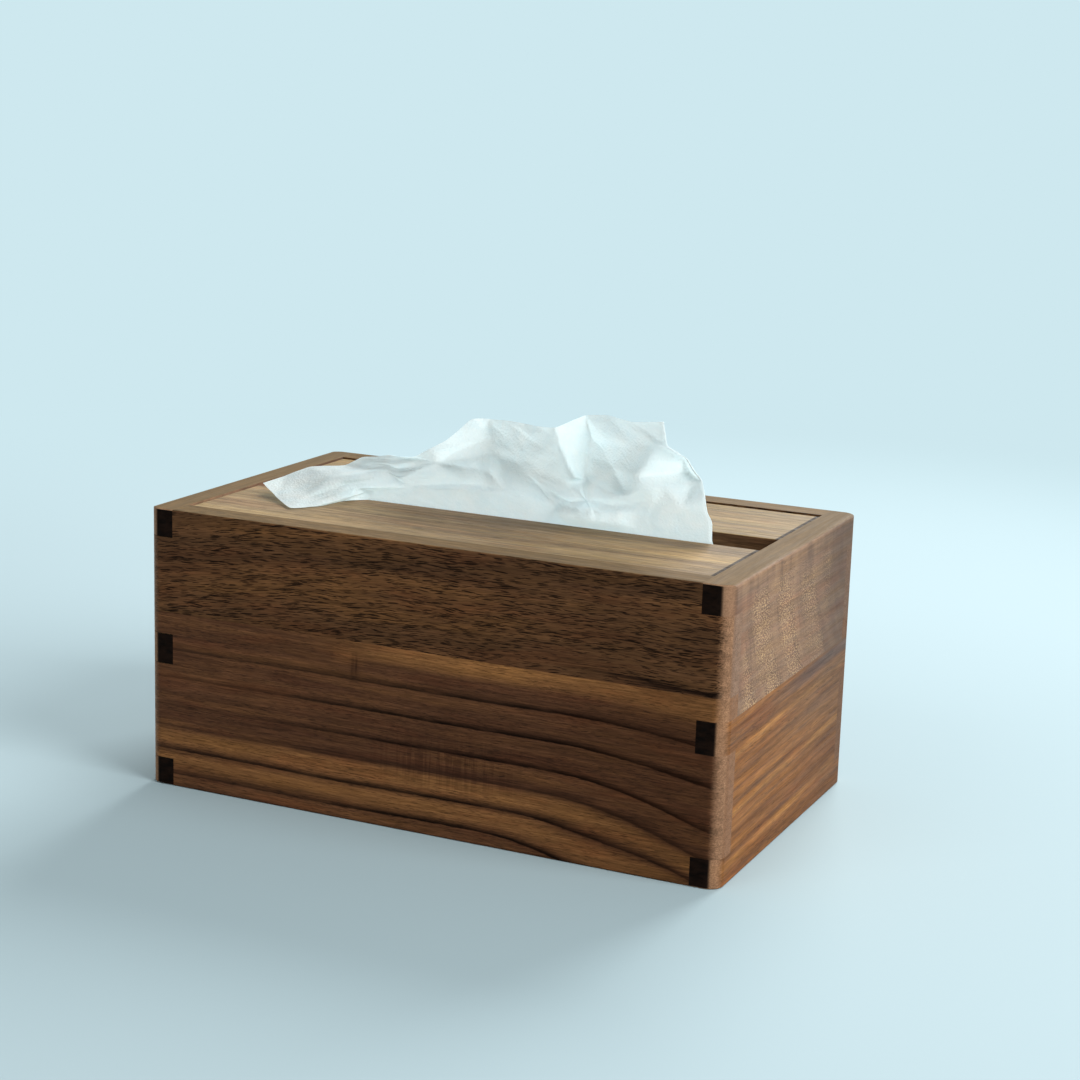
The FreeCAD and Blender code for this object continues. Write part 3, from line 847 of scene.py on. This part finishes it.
def hidden(across, below):
    """The sheet from the slot down: through it in soft gathers, down to the stack and flat over it."""
    board = BOARD_TOP - BOARD_LOW
    rest = STACK[1][2] + REST_GAP
    turn_at = BOARD_TOP - rest - TURN_RADIUS
    share = across / SHEET_WIDTH
    spread = np.clip((below - board) / (turn_at - board), 0, 1)
    spread = spread * spread * (3 - 2 * spread)
    wide = (STACK[0][0] + STACK[1][0] - SHEET_WIDTH) / 2
    x = (SLOT_LEFT + (SLOT_RIGHT - SLOT_LEFT) * share) * (1 - spread) + (wide + across) * spread
    fall = np.clip(below, 0, turn_at)
    angle = np.clip((below - turn_at) / TURN_RADIUS, 0, math.pi / 2)
    flat = np.clip(below - turn_at - TURN_RADIUS * math.pi / 2, 0, None)
    pleat = np.clip(below / PLEAT_START, 0, 1) * (1 - spread)
    wave = np.sin(across * PLEAT_RATE + PLEAT_DRIFT * np.sin(across * DRIFT_RATE)) * 0.5 + 0.5
    y = HUG + TURN_RADIUS * (1 - np.cos(angle)) + flat + PLEAT_DEPTH * pleat * wave
    z = BOARD_TOP - fall - TURN_RADIUS * np.sin(angle)
    return np.stack([x, y, z], axis=-1)


def wrinkle(place, across, above):
    """Bundles of fine creases where the sheet is bunched up."""
    height = np.zeros(across.shape)
    for seed, (u, v, half_length, half_width, angle, spacing, depth) in enumerate(CREASES):
        turn = math.radians(angle)
        along = (across - u) * math.cos(turn) + (above - v) * math.sin(turn)
        over = (above - v) * math.cos(turn) - (across - u) * math.sin(turn)
        near = np.exp(-(along / half_length) ** 2 - (over / half_width) ** 2)
        touched = near > 0.02
        made = crumples(along[touched], over[touched], spacing, depth, seed, stretch=6.0)
        height[touched] += near[touched] * made
    above_slot = np.clip((above - 1.0) / 4.0, 0, 1)
    return place + normals(place) * (height * above_slot)[..., None]


# Bundles of fine creases: middle across and above, half length, half width, angle, spacing, depth.
CREASES = (
    (44, 44, 13, 10, -24, 2.6, 0.45),
    (52, 32, 9, 7, -28, 2.8, 0.30),
    (112, 47, 14, 10, -36, 2.2, 0.18),
    (112, 28, 18, 7, -34, 2.4, 0.16),
    (80, 22, 26, 5, -2, 2.2, 0.20),
    (140, 16, 16, 3, -3, 2.0, 0.16),
    (156, 10, 12, 8, 60, 3.4, 0.16),
    (20, 36, 18, 14, -20, 4.0, 0.25),
)


def curl_edge(place):
    """Bend the last step at the right edge back, so that it catches the light."""
    shown = place[:, -1, 2] > BOARD_TOP
    place[shown, -1] = place[shown, -2] + (CURL_OUT, SHEET_STEP, 0.0)
    return place


def mesh_piece(name, points, faces, material, body):
    """A new piece from points in millimetres, riding on a CAD body."""
    mesh = bpy.data.meshes.new(name)
    mesh.from_pydata([tuple(point * MM) for point in points], [], faces)
    mesh.polygons.foreach_set("use_smooth", [True] * len(mesh.polygons))
    mesh.materials.append(material)
    piece = bpy.data.objects.new(name, mesh)
    bpy.context.scene.collection.objects.link(piece)
    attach(piece, body)
    return piece


LET_THROUGH = 0.34
CREASE_DOWN = 0.42
CREASE_ALONG = 0.91


def fine_creases(fin):
    """Sharp little creases in scattered patches, running down to the right over the front."""
    across, deep, up = fin.split(fin.scaled(fin.place(), (1 / MM,) * 3))[:]
    along = fin.math("MULTIPLY_ADD", up, -CREASE_DOWN, fin.math("MULTIPLY", across, CREASE_ALONG))
    over = fin.math("MULTIPLY_ADD", across, CREASE_DOWN, fin.math("MULTIPLY", up, CREASE_ALONG))
    point = fin.scaled(fin.join(along, over, deep), (0.08, 0.75, 0.1))
    fold = fin.math("ABSOLUTE", fin.math("SUBTRACT", fin.noise(point, detail=2.0, rough=0.6), 0.5))
    patch = fin.noise(fin.join(across, deep, up), scale=0.05, detail=2.0)
    return fin.math("MULTIPLY", fin.math("MULTIPLY", fold, 4.0), fin.level(patch, 0.42, 0.60))


def tissue_paper():
    """Thin two-ply paper: matt, faintly quilted, and letting light through."""
    fin = Finish("tissue_paper", Roughness=0.95, Specular_IOR_Level=0.1)
    cloud = fin.noise(fin.scaled(fin.place(), (160.0, 160.0, 160.0)), detail=3.0, rough=0.6)
    tint = fin.ramp(cloud, ((0.3, rgb(236, 252, 255)), (0.7, rgb(245, 255, 255))))
    fin.colour(tint)
    fibre = fin.noise(fin.scaled(fin.place(), (1400.0, 1400.0, 1400.0)), detail=3.0, rough=0.7)
    quilt = fin.cells(fin.scaled(fin.place(), (1100.0, 1100.0, 1100.0)))
    relief = fin.math("MULTIPLY_ADD", quilt, 0.4, fin.math("MULTIPLY", fibre, 0.8))
    bump = fin.bump(fin.math("MULTIPLY_ADD", fine_creases(fin), 0.28, relief), 0.00030)
    fin.normal(bump)
    thin = fin.node("ShaderNodeBsdfTranslucent")
    fin.put(thin.inputs["Color"], tint)
    fin.put(thin.inputs["Normal"], bump)
    both = fin.node("ShaderNodeMixShader")
    both.inputs[0].default_value = LET_THROUGH
    fin.put(both.inputs[1], fin.shader.outputs[0])
    fin.put(both.inputs[2], thin.outputs[0])
    fin.put(fin.output.inputs["Surface"], both.outputs[0])
    return fin.material


def add_top_tissue(paper):
    """The sheet that stands ready: folded above the slot, gathered in it and flat on the stack below."""
    columns = round(SHEET_WIDTH / SHEET_STEP) + 1
    rows = round(SHEET_HEIGHT / SHEET_STEP) + 1
    across, above = np.meshgrid(np.linspace(0, SHEET_WIDTH, columns),
                                np.linspace(SHOWN_HEIGHT, SHOWN_HEIGHT - SHEET_HEIGHT, rows))
    shown = folded(across, np.clip(above, 0, None))
    place = np.where((above >= 0)[..., None], shown, hidden(across, -above))
    place = curl_edge(wrinkle(soften(place, 2), across, above))
    faces = [(r * columns + c, r * columns + c + 1, (r + 1) * columns + c + 1, (r + 1) * columns + c)
             for r in range(rows - 1) for c in range(columns - 1)]
    sheet = mesh_piece("popped_tissue", place.reshape(-1, 3), faces, paper, "drawer")
    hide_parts("top_tissue")


STACK_LAYERS = 44
STACK_STATIONS = 28
LAYER_GAP = 0.06
LAYER_INSET = (0.1, 1.0)
# Waves along a layer: height in millimetres and turn for each millimetre.
LONG_WAVE = (0.22, 0.045)
SHORT_WAVE = (0.12, 0.13)
FOLD_SHIFT = 0.45


def layer_ring(front, rear, half):
    """One folded layer seen end on: flat, with a rounded fold at each side."""
    turns = np.radians(np.array([-90, -45, 0, 45, 90]))
    ring = [(rear - half + half * math.cos(t), half * math.sin(t)) for t in turns]
    return ring + [(front + half - half * math.cos(t), half * math.sin(t)) for t in turns[::-1]]


def tube_faces(first, count, stations):
    """The faces around a row of equal rings, with a cap at each end."""
    faces = []
    for start in range(first, first + (stations - 1) * count, count):
        for k in range(count):
            a, b = start + k, start + (k + 1) % count
            faces.append((a, a + count, b + count, b))
    last = first + (stations - 1) * count
    faces.append(tuple(range(first, first + count)))
    faces.append(tuple(range(last, last + count))[::-1])
    return faces


def add_stack(paper):
    """The block of folded tissues: every layer is a flat loop whose fold shows on alternate long sides."""
    low, high = STACK
    chance = np.random.default_rng(11)
    tall = (high[2] - low[2]) / STACK_LAYERS
    half = tall / 2 - LAYER_GAP / 2
    points, faces = [], []
    for layer in range(STACK_LAYERS):
        inset = chance.uniform(*LAYER_INSET, 4)
        shift = FOLD_SHIFT if layer % 2 else -FOLD_SHIFT
        front = low[1] + inset[0] + FOLD_SHIFT + shift
        rear = high[1] - inset[1] - FOLD_SHIFT + shift
        ring = layer_ring(front, rear, half)
        middle = low[2] + tall * (layer + 0.5)
        wave = chance.uniform(0, 6.3, 2)
        faces += tube_faces(len(points), len(ring), STACK_STATIONS)
        for x in np.linspace(low[0] + inset[2], high[0] - inset[3], STACK_STATIONS):
            long_sway = LONG_WAVE[0] * math.sin(x * LONG_WAVE[1] + wave[0])
            sway = long_sway + SHORT_WAVE[0] * math.sin(x * SHORT_WAVE[1] + wave[1])
            points += [(x, y + sway, middle + z) for y, z in ring]
    pile = mesh_piece("folded_tissues", np.array(points), faces, paper, "drawer")
    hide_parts("tissue_stack")


# ---------------------------------------------------------------- floor, backdrop and light

BACKDROP = rgb(206, 232, 239)
FLOOR_SHOWN = rgb(182, 203, 209)
FLOOR_BOUNCE = rgb(128, 130, 130)
FLOOR_RADIUS = 8.0
FLOOR_SIDES = 64
FLOOR_GAP = 0.05 * MM
FADE_START = 0.28
FADE_END = 0.80
FILL_LEVEL = 0.30
FILL_TINT = rgb(244, 250, 252)
LAMP_TARGET = (0.0, 0.0, 0.05)
# Name, place in metres, width in metres and power in watts.
LAMPS = (
    ("side", (1.85, -0.30, 1.30), 1.5, 44.0),
    ("back", (0.10, 1.90, 1.20), 1.4, 56.0),
    ("front", (-0.9, -2.0, 1.5), 1.6, 7.5),
)


def seen_directly(tree):
    """1 for what the camera, a mirror or glass shows, and 0 for light that only bounces."""
    path = tree.nodes.new("ShaderNodeLightPath")
    total = path.outputs["Is Camera Ray"]
    for name in ("Is Glossy Ray", "Is Transmission Ray"):
        add = tree.nodes.new("ShaderNodeMath")
        add.operation = "ADD"
        add.use_clamp = True
        tree.links.new(total, add.inputs[0])
        tree.links.new(path.outputs[name], add.inputs[1])
        total = add.outputs[0]
    return total


def floor_paper():
    """Plain pale studio paper that keeps the shadow near the box and fades into the backdrop far away."""
    fin = Finish("floor_paper", Roughness=0.9, Specular_IOR_Level=0.1)
    cloud = fin.noise(fin.scaled(fin.place(), (2.5, 2.5, 2.5)), detail=2.0)
    tint = fin.level(cloud, 0.3, 0.7, 0.975, 1.0)
    shown = fin.mix(1.0, FLOOR_SHOWN, fin.join(tint, tint, tint), "MULTIPLY")
    fin.colour(fin.mix(seen_directly(fin.tree), FLOOR_BOUNCE, shown))
    across, along, up = fin.split(fin.place())[:]
    away = fin.math("SQRT", fin.math("ADD", fin.math("MULTIPLY", across, across),
                                     fin.math("MULTIPLY", along, along)))
    glow = fin.node("ShaderNodeEmission")
    glow.inputs["Color"].default_value = BACKDROP
    both = fin.node("ShaderNodeMixShader")
    fade = fin.math("MULTIPLY", fin.level(away, FADE_START, FADE_END), seen_directly(fin.tree))
    fin.put(both.inputs[0], fade)
    fin.put(both.inputs[1], fin.shader.outputs[0])
    fin.put(both.inputs[2], glow.outputs[0])
    fin.put(fin.output.inputs["Surface"], both.outputs[0])
    return fin.material


def add_floor():
    """A wide round floor just under the box."""
    turns = [2 * math.pi * side / FLOOR_SIDES for side in range(FLOOR_SIDES)]
    rim = [(FLOOR_RADIUS * math.cos(turn), FLOOR_RADIUS * math.sin(turn), 0.0) for turn in turns]
    mesh = bpy.data.meshes.new("floor")
    mesh.from_pydata(rim, [], [tuple(range(FLOOR_SIDES))])
    floor = bpy.data.objects.new("floor", mesh)
    bpy.context.scene.collection.objects.link(floor)
    floor.location.z = CAD_BOX[0][2] - FLOOR_GAP
    mesh.materials.append(floor_paper())


def add_world():
    """The backdrop as the camera and reflections see it, and a weak, paler fill for bounced light."""
    world = bpy.data.worlds.new("world")
    world.use_nodes = True
    bpy.context.scene.world = world
    tree = world.node_tree
    tree.nodes.clear()
    fill = tree.nodes.new("ShaderNodeBackground")
    fill.inputs["Color"].default_value = FILL_TINT
    fill.inputs["Strength"].default_value = FILL_LEVEL
    shown = tree.nodes.new("ShaderNodeBackground")
    shown.inputs["Color"].default_value = BACKDROP
    both = tree.nodes.new("ShaderNodeMixShader")
    tree.links.new(seen_directly(tree), both.inputs[0])
    tree.links.new(fill.outputs[0], both.inputs[1])
    tree.links.new(shown.outputs[0], both.inputs[2])
    out = tree.nodes.new("ShaderNodeOutputWorld")
    tree.links.new(both.outputs[0], out.inputs["Surface"])


def add_lamps():
    """Large soft lamps on the right and behind, and a weak one in front on the left."""
    for name, place, size, power in LAMPS:
        data = bpy.data.lights.new(name, "AREA")
        data.shape = "DISK"
        data.size = size
        data.energy = power
        lamp = bpy.data.objects.new(name, data)
        bpy.context.scene.collection.objects.link(lamp)
        lamp.location = place
        lamp.rotation_euler = (Vector(LAMP_TARGET) - Vector(place)).to_track_quat("-Z", "Y").to_euler()


bpy.context.scene.view_settings.view_transform = "Standard"
add_camera()
add_floor()
add_world()
add_lamps()
dress_frame()
paper = tissue_paper()
add_stack(paper)
add_top_tissue(paper)
